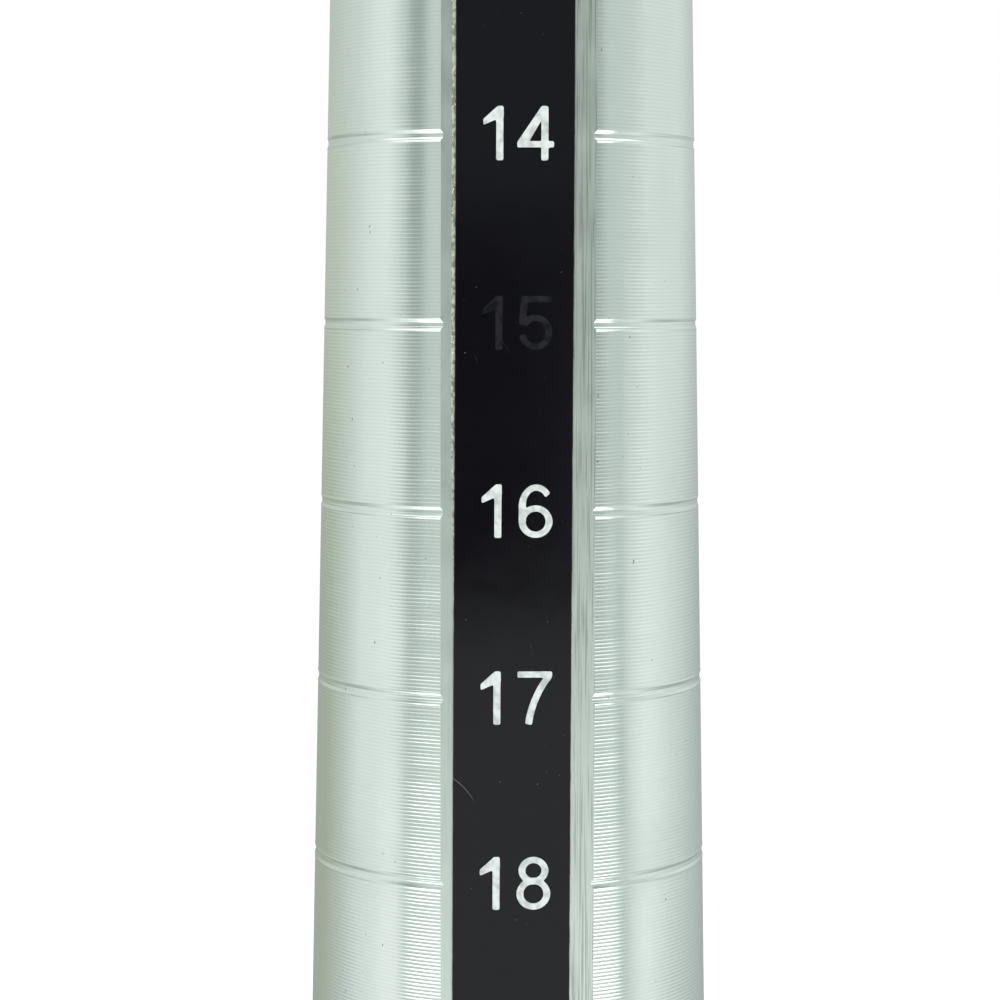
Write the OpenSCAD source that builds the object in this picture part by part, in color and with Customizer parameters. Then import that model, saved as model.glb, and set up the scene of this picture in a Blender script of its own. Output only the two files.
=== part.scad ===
// Ring mandrel: a tapered aluminium gauge bar for reading finger-ring sizes, on a plastic handle.
// It stands upright on its handle. The origin is the middle of the foot's lowest face,
// +Z points to the thin end and the scale faces -Y. Lengths are in millimetres.

/* [Size scale] */
// Number of ring sizes on the scale
size_count = 30; // [24:1:30]
// Distance along the axis from one size line to the next
size_pitch = 8.4; // [8:0.2:10]
// Bar diameter at the line of size 1
size_one_d = 13; // [12.5:0.1:13.5]
// Ring sizes to one millimetre of diameter
sizes_per_mm = 3; // [3:0.1:3.5]
// Bar beyond the line of size 1
tip_len = 9; // [7:1:15]
// Plain bar between the last size line and the ferrule
heel_len = 8.4; // [6:0.2:15]

/* [Size lines] */
// Width of the shallow groove that marks a size
groove_w = 0.5; // [0.4:0.02:0.6]
// Depth of the shallow groove that marks a size
groove_depth = 0.04; // [0.03:0.01:0.2]

/* [Milled flat] */
// Width of the flat at size 1
flat_w_small = 6.65; // [6.5:0.05:6.9]
// Width of the flat at the largest size
flat_w_large = 6.6; // [6.5:0.05:7.5]

/* [Number strip] */
// Width of the black film
strip_w = 5.3; // [4.9:0.1:5.4]
// Thickness of the black film
strip_t = 0.12; // [0.1:0.01:0.12]
// Thickness of the adhesive layer under the film
adhesive_t = 0.05; // [0.03:0.01:0.05]
// How far the adhesive shows beyond the film's left edge
adhesive_margin = 0.2; // [0.1:0.05:0.2]
// How far the film sits to the left of the flat's middle
strip_shift = 0.22; // [0:0.02:0.3]
// Bare bar between each end of the film and the end of the flat
strip_end_gap = 2.5; // [2:0.5:5]

/* [Numerals] */
// Height of a numeral
numeral_h = 2.4; // [2:0.05:2.8]
// Width of a numeral's stroke
stroke_w = 0.32; // [0.25:0.01:0.4]
// Thickness of the printed ink
ink_t = 0.05; // [0.03:0.01:0.06]

/* [Handle] */
// Diameter of the grip and the end cap
grip_d = 28; // [26:1:32]
// Length of the grip
grip_len = 76; // [74:1:90]
// Number of flutes round the grip
flute_count = 10; // [6:1:12]
// Radius of the round cutter that makes a flute
flute_r = 4; // [3:0.5:5]
// Depth of a flute
flute_depth = 0.9; // [0.5:0.1:1.2]
// Diameter of the ferrule
ferrule_d = 27; // [25:0.5:27]
// Length of the ferrule
ferrule_len = 6; // [5:0.5:8]

/* [Foot] */
// Diameter of the rubber foot pad
pad_d = 24; // [20:1:24]
// Thickness of the rubber foot pad
pad_t = 2; // [1.5:0.5:3]
// How far the pad stands out of the end cap
pad_stand = 1; // [0.5:0.1:1.2]
// Thickness of the end cap's flange
cap_t = 5; // [4:0.5:8]

/* [Hidden] */

ROUND = 96;
FINE = 48;
EPS = 0.02;

// Heights of the joints between the pieces, from the foot up
cap_z = pad_stand;
grip_z = cap_z + cap_t;
grip_top_z = grip_z + grip_len;
shoulder_z = grip_top_z + ferrule_len;
size_one_z = shoulder_z + heel_len + (size_count - 1) * size_pitch;
tip_z = size_one_z + tip_len;

// Spigot: the turned-down root of the bar that the ferrule and the grip slide onto
spigot_r = 8;
spigot_len = 36;
spigot_z = shoulder_z - spigot_len;
spigot_flat_r = 6.5;
edge_c = 0.6;

// M8 socket-head screw, its washers, and the tapped hole that it pulls on
thread_r = 4;
thread_root_r = 3.35;
thread_pitch = 1.25;
screw_len = 40;
screw_plain_len = 12;
tap_depth = 28;
head_r = 6.5;
head_len = 8;
hex_flats = 6;
hex_depth = 4;
clearance_r = 4.5;
washer_r = 8;
washer_bore_r = 4.2;
washer_t = 1.6;
spring_r = 7.4;
spring_bore_r = 4.05;
spring_t = 2;
spring_slot_w = 1.5;
spring_slot_angle = 20;

// Grip: the bore for the end cap's plug, and the web that the screw clamps against
bore_r = 8.5;
web_z = 40;
socket_gap = 0.5;
grip_edge_r = 1;
flute_inset = 10;
plug_len = 9;
cap_edge_c = 1;

// Size lines: the width of each sloping wall
groove_wall = 0.16;

// Tip: chamfer and the lathe's centre hole
tip_c = 0.8;
centre_r = 2.1;
centre_pilot_r = 1;
centre_pilot_len = 5;
centre_cone_angle = 30;

// The flat is one plane. It lies at these distances from the axis at size 1 and at the largest size
flat_r_small = sqrt(pow(size_one_d / 2, 2) - pow(flat_w_small / 2, 2));
flat_r_large = sqrt(pow(bar_r(size_z(size_count)), 2) - pow(flat_w_large / 2, 2));
flat_angle = atan((flat_r_large - flat_r_small) / (size_z(1) - size_z(size_count)));

// The film's two ends, as distances along the flat from the line of size 1
strip_top_s = (tip_len - strip_end_gap) / cos(flat_angle);
strip_bottom_s = -(size_one_z - shoulder_z - strip_end_gap) / cos(flat_angle);

// A numeral's shapes, as shares of its height
cell_w = 0.783;
half_w = stroke_w / numeral_h / 2;
left_x = 0.06 + half_w;
right_x = 0.72 - half_w;
middle_x = (left_x + right_x) / 2;
low_y = half_w;
high_y = 1 - half_w;
bowl_r = (right_x - left_x) / 2;
upper_r = 0.205;
lower_r = (high_y - low_y) / 2 - upper_r;
numeral_right = 0.05;
numeral_up = 0.08;

function bar_r(z) = (size_one_d + (size_one_z - z) / (size_pitch * sizes_per_mm)) / 2;
function size_z(n) = size_one_z - (n - 1) * size_pitch;
function size_s(n) = (size_z(n) - size_one_z) / cos(flat_angle);
function ring_point(r, a) = [r * cos(a), r * sin(a)];

// Puts its children on the flat: X across it, Y along it to the tip, Z out of it,
// with the origin on the line of size 1
module on_flat() {
    translate([0, -flat_r_small, size_one_z])
        rotate([90 - flat_angle, 0, 0])
            children();
}

// Sharp-edged ring or disc with a chamfer on the outside of each end
module chamfered_disc(r, h, c) {
    rotate_extrude($fn = ROUND)
        polygon([[0, 0], [r - c, 0], [r, c], [r, h - c], [r - c, h], [0, h]]);
}

module bar_outline() {
    rim = groove_w / 2;
    bed = rim - groove_wall;
    section = [[-rim, 0], [-bed, groove_depth], [bed, groove_depth], [rim, 0]];
    grooves = [
        for (n = [size_count:-1:1])
            for (corner = section)
                let (z = size_z(n) + corner.x)
                    [bar_r(z) - corner.y, z]
    ];
    polygon(concat(
        [
            [0, spigot_z],
            [spigot_r - edge_c, spigot_z],
            [spigot_r, spigot_z + edge_c],
            [spigot_r, shoulder_z],
            [bar_r(shoulder_z), shoulder_z]
        ],
        grooves,
        [
            [bar_r(tip_z - tip_c), tip_z - tip_c],
            [bar_r(tip_z) - tip_c, tip_z],
            [0, tip_z]
        ]
    ));
}

module centre_hole() {
    cone_len = centre_r / tan(centre_cone_angle);
    translate([0, 0, tip_z - cone_len])
        cylinder(r1 = 0, r2 = centre_r, h = cone_len, $fn = FINE);
    translate([0, 0, tip_z - centre_pilot_len])
        cylinder(r = centre_pilot_r, h = centre_pilot_len, $fn = FINE);
}

module gauge_bar() {
    color("silver")
        difference() {
            rotate_extrude($fn = ROUND)
                bar_outline();
            on_flat()
                translate([-grip_d / 2, -tip_z, 0])
                    cube([grip_d, 2 * tip_z, grip_d]);
            translate([-grip_d / 2, spigot_flat_r, spigot_z - grip_d])
                cube([grip_d, grip_d, shoulder_z - ferrule_len - spigot_z + grip_d]);
            translate([0, 0, spigot_z - EPS])
                cylinder(r = thread_r, h = tap_depth + EPS, $fn = FINE);
            centre_hole();
        }
}

module strip_adhesive() {
    color("tan")
        on_flat()
            translate([-strip_w / 2 - strip_shift - adhesive_margin, strip_bottom_s, 0])
                cube([strip_w + adhesive_margin, strip_top_s - strip_bottom_s, adhesive_t]);
}

module number_strip() {
    color("black")
        on_flat()
            translate([-strip_w / 2 - strip_shift, strip_bottom_s, adhesive_t])
                cube([strip_w, strip_top_s - strip_bottom_s, strip_t]);
}

// A straight stroke with round ends, between two points of a numeral's cell
module stroke(from, to) {
    run = to - from;
    translate(from * numeral_h)
        rotate(atan2(run.y, run.x))
            translate([0, -stroke_w / 2])
                square([norm(run) * numeral_h, stroke_w]);
    for (end = [from, to])
        translate(end * numeral_h)
            circle(d = stroke_w, $fn = FINE);
}

// A round stroke from angle a to angle b, anticlockwise, with round ends
module bend(centre, r, a, b) {
    steps = 6;
    reach = 2 * numeral_h;
    wedge = [for (i = [0:steps]) ring_point(reach, a + (b - a) * i / steps)];
    translate(centre * numeral_h)
        intersection() {
            loop(r);
            polygon(concat([[0, 0]], wedge));
        }
    for (end = [a, b])
        translate(centre * numeral_h + ring_point(r * numeral_h, end))
            circle(d = stroke_w, $fn = FINE);
}

module loop(r) {
    difference() {
        circle(r = r * numeral_h + stroke_w / 2, $fn = FINE);
        circle(r = r * numeral_h - stroke_w / 2, $fn = FINE);
    }
}

module digit_zero() {
    bend([middle_x, high_y - bowl_r], bowl_r, 0, 180);
    bend([middle_x, low_y + bowl_r], bowl_r, 180, 360);
    for (x = [left_x, right_x])
        stroke([x, low_y + bowl_r], [x, high_y - bowl_r]);
}

module digit_one() {
    stem_x = 0.517;
    stroke([stem_x, low_y], [stem_x, high_y]);
    stroke([0.255, 0.72], [stem_x - 0.02, high_y]);
}

module digit_two() {
    turn_r = 0.24;
    join = -45;
    centre = [middle_x, high_y - turn_r];
    bend(centre, turn_r, join, 165);
    stroke(centre + ring_point(turn_r, join), [left_x + 0.01, low_y]);
    stroke([left_x, low_y], [right_x, low_y]);
}

module digit_three() {
    bend([middle_x, high_y - upper_r], upper_r, -90, 155);
    bend([middle_x, low_y + lower_r], lower_r, -155, 90);
}

module digit_four() {
    stem_x = 0.56;
    bar_y = 0.305;
    stroke([stem_x, low_y], [stem_x, high_y]);
    stroke([left_x, bar_y], [stem_x - 0.02, high_y]);
    stroke([left_x, bar_y], [right_x + 0.01, bar_y]);
}

module digit_five() {
    turn_r = 0.25;
    join = 145;
    centre = [middle_x, low_y + turn_r];
    shoulder_x = 0.21;
    stroke([shoulder_x, high_y], [right_x - 0.03, high_y]);
    stroke([shoulder_x, high_y], centre + ring_point(turn_r, join));
    bend(centre, turn_r, -160, join);
}

module digit_six() {
    turn_r = 0.245;
    low = [middle_x, low_y + turn_r];
    high = [middle_x, high_y - turn_r];
    translate(low * numeral_h)
        loop(turn_r);
    stroke([middle_x - turn_r, low.y], [middle_x - turn_r, high.y]);
    bend(high, turn_r, 25, 180);
}

module digit_seven() {
    foot_x = 0.285;
    sweep_r = 1.28;
    stroke([left_x, high_y], [right_x, high_y]);
    bend([foot_x + sweep_r, 0], sweep_r, 180 - asin(high_y / sweep_r), 180 - asin(low_y / sweep_r));
}

module digit_eight() {
    translate([middle_x, high_y - upper_r] * numeral_h)
        loop(upper_r);
    translate([middle_x, low_y + lower_r] * numeral_h)
        loop(lower_r);
}

module digit_nine() {
    translate([2 * middle_x, 1] * numeral_h)
        rotate(180)
            digit_six();
}

module digit(value) {
    if (value == 0) digit_zero();
    if (value == 1) digit_one();
    if (value == 2) digit_two();
    if (value == 3) digit_three();
    if (value == 4) digit_four();
    if (value == 5) digit_five();
    if (value == 6) digit_six();
    if (value == 7) digit_seven();
    if (value == 8) digit_eight();
    if (value == 9) digit_nine();
}

// A whole number with its middle at the origin
module numeral(value) {
    digits = value < 10 ? [value] : [floor(value / 10), value % 10];
    for (i = [0:len(digits) - 1])
        translate([(i - len(digits) / 2) * cell_w, -0.5] * numeral_h)
            digit(digits[i]);
}

module size_numerals() {
    color("white")
        on_flat()
            for (n = [1:size_count])
                translate([numeral_right - strip_shift, size_s(n) + numeral_up, adhesive_t + strip_t])
                    linear_extrude(ink_t)
                        numeral(n);
}

module ferrule() {
    bevel = 1.2;
    r = ferrule_d / 2;
    color("silver")
        translate([0, 0, grip_top_z])
            rotate_extrude($fn = ROUND)
                polygon([
                    [spigot_r, 0],
                    [r - edge_c, 0],
                    [r, edge_c],
                    [r, ferrule_len - bevel],
                    [r - bevel, ferrule_len],
                    [spigot_r, ferrule_len]
                ]);
}

module grip_outline() {
    r = grip_d / 2;
    square([r - grip_edge_r, grip_len]);
    translate([0, grip_edge_r])
        square([r, grip_len - 2 * grip_edge_r]);
    for (z = [grip_edge_r, grip_len - grip_edge_r])
        translate([r - grip_edge_r, z])
            circle(r = grip_edge_r, $fn = FINE);
}

// One flute: a round-ended groove along the grip
module flute() {
    flute_len = grip_len - 2 * flute_inset;
    translate([grip_d / 2 + flute_r - flute_depth, 0, grip_z + flute_inset]) {
        cylinder(r = flute_r, h = flute_len, $fn = FINE);
        for (z = [0, flute_len])
            translate([0, 0, z])
                sphere(r = flute_r, $fn = FINE);
    }
}

module handle_grip() {
    color("dimgray")
        difference() {
            translate([0, 0, grip_z])
                rotate_extrude($fn = ROUND)
                    grip_outline();
            for (i = [0:flute_count - 1])
                rotate(360 * (i + 0.5) / flute_count)
                    flute();
            translate([0, 0, grip_z - EPS])
                cylinder(r = bore_r, h = web_z - grip_z + EPS, $fn = FINE);
            cylinder(r = clearance_r, h = tip_z, $fn = FINE);
            translate([0, 0, spigot_z - socket_gap])
                intersection() {
                    cylinder(r = spigot_r, h = grip_len, $fn = FINE);
                    translate([-grip_d / 2, -grip_d / 2, 0])
                        cube([grip_d, grip_d / 2 + spigot_flat_r, grip_len]);
                }
        }
}

// The screw's thread, as rings of the thread's depth and pitch
module clamp_screw() {
    head_z = web_z - washer_t - spring_t - head_len;
    shank_z = head_z + head_len;
    rings = floor((screw_len - screw_plain_len) / thread_pitch);
    thread = [
        for (i = [0:rings - 1])
            for (side = [0, 0.5])
                [side == 0 ? thread_r : thread_root_r,
                 shank_z + screw_plain_len + (i + side) * thread_pitch]
    ];
    color("slategray")
        difference() {
            rotate_extrude($fn = FINE)
                polygon(concat(
                    [
                        [0, head_z],
                        [head_r - edge_c, head_z],
                        [head_r, head_z + edge_c],
                        [head_r, shank_z],
                        [thread_r, shank_z]
                    ],
                    thread,
                    [[thread_root_r, shank_z + screw_len], [0, shank_z + screw_len]]
                ));
            translate([0, 0, head_z - EPS])
                cylinder(d = hex_flats / cos(30), h = hex_depth + EPS, $fn = 6);
        }
}

module spring_washer() {
    color("gray")
        translate([0, 0, web_z - washer_t - spring_t])
            difference() {
                cylinder(r = spring_r, h = spring_t, $fn = FINE);
                translate([0, 0, -EPS])
                    cylinder(r = spring_bore_r, h = spring_t + 2 * EPS, $fn = FINE);
                translate([0, 0, spring_t / 2])
                    rotate([spring_slot_angle, 0, 0])
                        translate([0, -spring_slot_w / 2, -spring_t])
                            cube([2 * spring_r, spring_slot_w, 2 * spring_t]);
            }
}

module flat_washer() {
    color("lightgray")
        translate([0, 0, web_z - washer_t])
            difference() {
                cylinder(r = washer_r, h = washer_t, $fn = FINE);
                translate([0, 0, -EPS])
                    cylinder(r = washer_bore_r, h = washer_t + 2 * EPS, $fn = FINE);
            }
}

module end_cap() {
    recess = pad_t - pad_stand;
    color("silver")
        translate([0, 0, cap_z])
            difference() {
                union() {
                    chamfered_disc(grip_d / 2, cap_t, cap_edge_c);
                    chamfered_disc(bore_r, cap_t + plug_len, edge_c);
                }
                translate([0, 0, -EPS])
                    cylinder(d = pad_d, h = recess + EPS, $fn = ROUND);
            }
}

module foot_pad() {
    pad_edge_c = 0.3;
    color("darkslategray")
        chamfered_disc(pad_d / 2, pad_t, pad_edge_c);
}

gauge_bar();
strip_adhesive();
number_strip();
size_numerals();
ferrule();
handle_grip();
clamp_screw();
spring_washer();
flat_washer();
end_cap();
foot_pad();
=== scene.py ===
"""Looks of the ring mandrel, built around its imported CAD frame.

The gauge bar, its number strip and the handle are remade as fine meshes in the places that the CAD
nodes hold; the parts inside the handle keep their CAD meshes and get materials. Lengths are in
metres, in the row's frame: +Z runs to the thin end and the scale faces -Y.
"""

import math

import bmesh
import bpy
from mathutils import Matrix, Vector, noise
from mathutils.geometry import tessellate_polygon


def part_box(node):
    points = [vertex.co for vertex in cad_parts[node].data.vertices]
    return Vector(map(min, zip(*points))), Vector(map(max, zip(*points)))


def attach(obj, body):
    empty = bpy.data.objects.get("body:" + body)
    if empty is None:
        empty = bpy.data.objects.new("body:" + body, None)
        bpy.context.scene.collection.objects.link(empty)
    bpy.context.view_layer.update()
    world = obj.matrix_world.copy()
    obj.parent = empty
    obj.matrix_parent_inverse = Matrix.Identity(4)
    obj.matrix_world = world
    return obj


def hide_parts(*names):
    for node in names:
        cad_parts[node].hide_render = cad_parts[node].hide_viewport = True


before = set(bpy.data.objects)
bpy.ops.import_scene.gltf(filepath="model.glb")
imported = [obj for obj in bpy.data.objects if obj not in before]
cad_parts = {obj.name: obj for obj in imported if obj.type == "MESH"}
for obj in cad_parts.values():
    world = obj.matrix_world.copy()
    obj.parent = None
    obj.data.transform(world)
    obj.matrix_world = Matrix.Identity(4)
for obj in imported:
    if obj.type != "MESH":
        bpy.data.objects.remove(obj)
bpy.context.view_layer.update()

MM = 0.001
BODY = "root"

# The size scale, as the CAD has it: the lines' pitch, the diameter at size 1, the sizes that it
# takes to add a millimetre to the diameter, and the flat's width at the first and the last size
SIZE_COUNT = 30
SIZE_PITCH = 8.4 * MM
SIZE_ONE_D = 13 * MM
SIZES_PER_MM = 3
FLAT_W_SMALL = 6.65 * MM
FLAT_W_LARGE = 6.6 * MM

# The line at each size: a shallow groove with sloped sides, and the low burr along its edges
GROOVE_W = 0.5 * MM
GROOVE_DEPTH = 0.04 * MM
GROOVE_WALL = 0.16 * MM
BURR_H = 0.012 * MM
BURR_W = 0.05 * MM

# The strip on the flat, and its numbers
STRIP_W = 5.3 * MM
STRIP_T = 0.12 * MM
ADHESIVE_T = 0.05 * MM
ADHESIVE_MARGIN = 0.2 * MM
STRIP_SHIFT = 0.22 * MM
STRIP_END_GAP = 2.5 * MM
NUMERAL_H = 2.4 * MM
STROKE_W = 0.315 * MM
INK_T = 0.05 * MM
WORN_SIZE = 15
WORN_INK_T = 0.01 * MM

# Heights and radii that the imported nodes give
TIP_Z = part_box("gauge_bar")[1].z
SPIGOT_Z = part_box("gauge_bar")[0].z
SHOULDER_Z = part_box("ferrule")[1].z
FERRULE_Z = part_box("ferrule")[0].z
FERRULE_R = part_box("ferrule")[1].x
GRIP_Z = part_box("handle_grip")[0].z
GRIP_TOP_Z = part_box("handle_grip")[1].z
GRIP_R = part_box("handle_grip")[1].x
CAP_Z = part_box("end_cap")[0].z
PAD_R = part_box("foot_pad")[1].x
PAD_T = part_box("foot_pad")[1].z

# The first line's distance from the tip, and its height
TIP_LEN = 9 * MM
SIZE_ONE_Z = TIP_Z - TIP_LEN

# The bar's thin end, with the centre hole that is left from turning
TIP_C = 0.8 * MM
CENTRE_R = 2.1 * MM
CENTRE_HALF_ANGLE = 30
CENTRE_PILOT_R = 1 * MM
CENTRE_PILOT_LEN = 5 * MM

# Parts of the root and the handle that have no box of their own
SPIGOT_R = 8 * MM
SPIGOT_FLAT_R = 6.5 * MM
SPIGOT_FLAT_TOP = 82 * MM
TAP_R = 4 * MM
TAP_DEPTH = 28 * MM
BORE_R = 8.5 * MM
WEB_Z = 40 * MM
CLEARANCE_R = 4.5 * MM
SOCKET_GAP = 0.5 * MM
FLUTE_COUNT = 10
FLUTE_R = 4 * MM
FLUTE_DEPTH = 0.9 * MM
FLUTE_INSET = 10 * MM

# The height over which a sudden step in a turned shape is made
STEP = 0.01 * MM

# How many sides stand for a full turn
BAR_SEGMENTS = 256
HANDLE_SEGMENTS = 240


def bar_r(z):
    """The taper's radius at a height."""
    return (SIZE_ONE_D + (SIZE_ONE_Z - z) / (SIZE_PITCH / MM * SIZES_PER_MM)) / 2


def size_z(n):
    """The height of a size's line."""
    return SIZE_ONE_Z - (n - 1) * SIZE_PITCH


FLAT_R_SMALL = math.sqrt((SIZE_ONE_D / 2) ** 2 - (FLAT_W_SMALL / 2) ** 2)
FLAT_R_LARGE = math.sqrt(bar_r(size_z(SIZE_COUNT)) ** 2 - (FLAT_W_LARGE / 2) ** 2)
FLAT_ANGLE = math.atan((FLAT_R_LARGE - FLAT_R_SMALL) / (size_z(1) - size_z(SIZE_COUNT)))
STRIP_TOP_S = (TIP_LEN - STRIP_END_GAP) / math.cos(FLAT_ANGLE)
STRIP_BOTTOM_S = -(SIZE_ONE_Z - SHOULDER_Z - STRIP_END_GAP) / math.cos(FLAT_ANGLE)

# From the flat's own frame (X across it, Y along it to the tip, Z out of it) to the row's
ON_FLAT = Matrix.Translation((0, -FLAT_R_SMALL, SIZE_ONE_Z)) @ Matrix.Rotation(
    math.pi / 2 - FLAT_ANGLE, 4, "X"
)


# ---------------------------------------------------------------- meshes


def add_piece(name, points, faces, materials, face_materials=None, sharp=28):
    """A piece of the object from points and faces in the row frame, riding on the one body. Edges
    that turn by more than sharp degrees stay crisp."""
    mesh = bpy.data.meshes.new(name)
    mesh.from_pydata([tuple(p) for p in points], [], faces)
    for material in materials:
        mesh.materials.append(material)
    if face_materials:
        mesh.polygons.foreach_set("material_index", face_materials)
    mesh.polygons.foreach_set("use_smooth", [True] * len(mesh.polygons))
    mesh.validate()
    mesh.set_sharp_from_angle(angle=math.radians(sharp))
    piece = bpy.data.objects.new(name, mesh)
    bpy.context.scene.collection.objects.link(piece)
    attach(piece, BODY)
    return piece


def arc(centre, radius, start, end, steps):
    """Points of a round corner in a lathe profile, angles in degrees."""
    return [
        (
            centre[0] + radius * math.cos(math.radians(start + (end - start) * i / steps)),
            centre[1] + radius * math.sin(math.radians(start + (end - start) * i / steps)),
        )
        for i in range(steps + 1)
    ]


def lathe(profile, segments, radius=None):
    """Points and faces of a closed profile of (r, z) turned about Z, anticlockwise seen with r to
    the right. A profile that starts and ends on the axis gives a solid, any other a ring.
    radius(r, z, angle) may change a point's radius."""
    points, rows = [], []
    for r, z in profile:
        if r == 0:
            rows.append([len(points)] * segments)
            points.append((0, 0, z))
            continue
        rows.append(range(len(points), len(points) + segments))
        for i in range(segments):
            angle = 2 * math.pi * i / segments
            at = radius(r, z, angle) if radius else r
            points.append((at * math.cos(angle), at * math.sin(angle), z))
    ring = profile[0][0] != 0
    faces = []
    for j in range(len(rows) - (0 if ring else 1)):
        low, high = rows[j], rows[(j + 1) % len(rows)]
        for i in range(segments):
            k = (i + 1) % segments
            corners = [low[i], low[k], high[k], high[i]]
            face = [c for at, c in enumerate(corners) if c != corners[at - 1]]
            if len(face) > 2:
                faces.append(face)
    return points, faces


def ribbon(left, right, start, end, low, high, step, edge):
    """Points and faces of a thin strip on the flat, in the row frame. left(s) and right(s) are its
    sides at a distance s along the flat, found at every step; low and high are its heights over the
    flat, and edge is the bevel along its upper sides."""
    count = max(2, round((end - start) / step))
    points, faces = [], []
    for i in range(count + 1):
        s = start + (end - start) * i / count
        a, b = left(s), right(s)
        section = [(a, low), (b, low), (b, high - edge), (b - edge, high)]
        section += [(a + edge, high), (a, high - edge)]
        points += [ON_FLAT @ Vector((x, s, h)) for x, h in section]
    sides = 6
    for i in range(count):
        for k in range(sides):
            near, far = i * sides, (i + 1) * sides
            j = (k + 1) % sides
            faces.append([near + k, near + j, far + j, far + k])
    faces.append(list(range(sides))[::-1])
    faces.append([count * sides + k for k in range(sides)])
    return points, faces


def strip_middle(s):
    """The middle line of the film, which was laid on by hand and wanders a little."""
    wave, sway = 110 * MM, 0.065 * MM
    past_16 = s - size_z(16) + SIZE_ONE_Z
    return -STRIP_SHIFT + sway * math.sin(2 * math.pi * past_16 / wave)


def ragged(x, size, grain, seed):
    """A side at x from the film's middle that wanders by up to size, with bumps about as long as grain."""
    return lambda s: strip_middle(s) + x + size * noise.noise(Vector((s / grain, seed, 0)))


def adhesive_margin(s):
    """How far the adhesive reaches past the film's left side, which shrinks between two sizes."""
    full, gone = 15.4, 16.7
    size = 1 - s * math.cos(FLAT_ANGLE) / SIZE_PITCH
    return ADHESIVE_MARGIN * max(0, min(1, (gone - size) / (gone - full)))


# ---------------------------------------------------------------- numerals

# The numerals are made of strokes, measured in shares of a numeral's height: the cell that each
# digit stands in, the middle of the round digits in it, and half a stroke's width
CELL_W = 0.765
MIDDLE_X = 0.39
HALF_W = STROKE_W / NUMERAL_H / 2
LEVEL_THINNER = 0.12

# How far a number stands right of the strip's middle and above its line
NUMERAL_RIGHT = 0.065 * MM
NUMERAL_UP = 0.08 * MM


def line(ax, ay, bx, by):
    """A straight stroke, as a test of how far a point lies outside it (below 0 inside it).
    Level strokes are a little thinner than upright ones, as in most type."""
    dx, dy = bx - ax, by - ay
    run = math.hypot(dx, dy)
    half = HALF_W * (1 - LEVEL_THINNER * abs(dx) / run)

    def outside(x, y):
        along = ((x - ax) * dx + (y - ay) * dy) / run
        across = abs((x - ax) * dy - (y - ay) * dx) / run
        return past_corner(max(-along, along - run), across - half)

    return outside


def bend(cx, cy, rx, ry, start=0, end=360):
    """A stroke round part of an oval, from one angle to another."""
    middle, half_turn = math.radians((start + end) / 2), math.radians((end - start) / 2)
    closed = end - start == 360
    least = 0.01

    def outside(x, y):
        u, v = (x - cx) / rx, (y - cy) / ry
        reach = max(math.hypot(u, v), least)
        turn = abs(math.remainder(math.atan2(v, u) - middle, 2 * math.pi))
        past = -1 if closed else (turn - half_turn) * ry
        half = HALF_W * (1 - LEVEL_THINNER * abs(v) / reach)
        return past_corner(past, abs(reach - 1) * math.hypot(x - cx, y - cy) / reach - half)

    return outside


def patch(*corners):
    """A filled convex shape, its corners anticlockwise."""

    def outside(x, y):
        sides = zip(corners, corners[1:] + corners[:1])
        return max(
            ((x - ax) * (by - ay) - (y - ay) * (bx - ax)) / math.hypot(bx - ax, by - ay)
            for (ax, ay), (bx, by) in sides
        )

    return outside


def past_corner(past, beside):
    """How far a point lies outside a stroke, from how far it is past the stroke's end and beside it.
    The corners of the end are slightly round."""
    soft = 0.022
    a, b = past + soft, beside + soft
    return min(max(a, b), 0) + math.hypot(max(a, 0), max(b, 0)) - soft


# Each digit's strokes, from 0 up. The 9 is the 6 turned half round
SIX = [
    bend(MIDDLE_X, 0.305, 0.25, 0.245),
    bend(MIDDLE_X + 0.01, 0.6, 0.26, 0.34, 35, 184),
    line(MIDDLE_X - 0.25, 0.3, MIDDLE_X - 0.25, 0.62),
]
DIGITS = [
    [
        bend(MIDDLE_X, 0.64, 0.25, 0.3, -10, 190),
        bend(MIDDLE_X, 0.36, 0.25, 0.3, 170, 370),
        line(MIDDLE_X - 0.25, 0.34, MIDDLE_X - 0.25, 0.66),
        line(MIDDLE_X + 0.25, 0.34, MIDDLE_X + 0.25, 0.66),
    ],
    [
        line(0.45, 0, 0.45, 0.9),
        patch((0.143, 0.648), (0.45, 0.78), (0.519, 0.81), (0.519, 1), (0.411, 1), (0.143, 0.758)),
    ],
    [
        bend(0.37, 0.72, 0.24, 0.22, -42, 168),
        line(0.56, 0.59, 0.12, 0.08),
        line(0.05, 0.06, 0.69, 0.06),
    ],
    [
        bend(0.36, 0.735, 0.205, 0.205, -88, 165),
        bend(0.36, 0.3, 0.25, 0.24, -165, 92),
    ],
    [
        line(0.52, 0, 0.52, 1),
        line(0.014, 0.298, 0.692, 0.298),
        patch(
            (0.014, 0.24), (0.2, 0.3), (0.457, 0.745), (0.52, 0.9), (0.52, 1), (0.457, 1), (0.014, 0.345)
        ),
    ],
    [
        line(0.13, 0.94, 0.665, 0.94),
        line(0.165, 1, 0.118, 0.47),
        bend(0.367, 0.327, 0.245, 0.267, -170, 152),
    ],
    SIX,
    [
        line(0.068, 0.94, 0.717, 0.94),
        bend(2.102, -0.2225, 1.836, 1.836, 141.5, 173),
    ],
    [
        bend(0.387, 0.74, 0.216, 0.2),
        bend(0.387, 0.3, 0.253, 0.242),
    ],
    [lambda x, y, stroke=stroke: stroke(2 * MIDDLE_X - x, 1 - y) for stroke in SIX],
]


def ink_level(strokes, x, y):
    """Below 0 inside the ink. Strokes flow together a little where they meet, as wet ink does."""
    flow = 0.015
    level = 1.0
    for stroke in strokes:
        d = stroke(x, y)
        share = max(0, min(1, 0.5 + 0.5 * (level - d) / flow))
        level = level * (1 - share) + d * share - flow * share * (1 - share)
    return level


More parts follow.
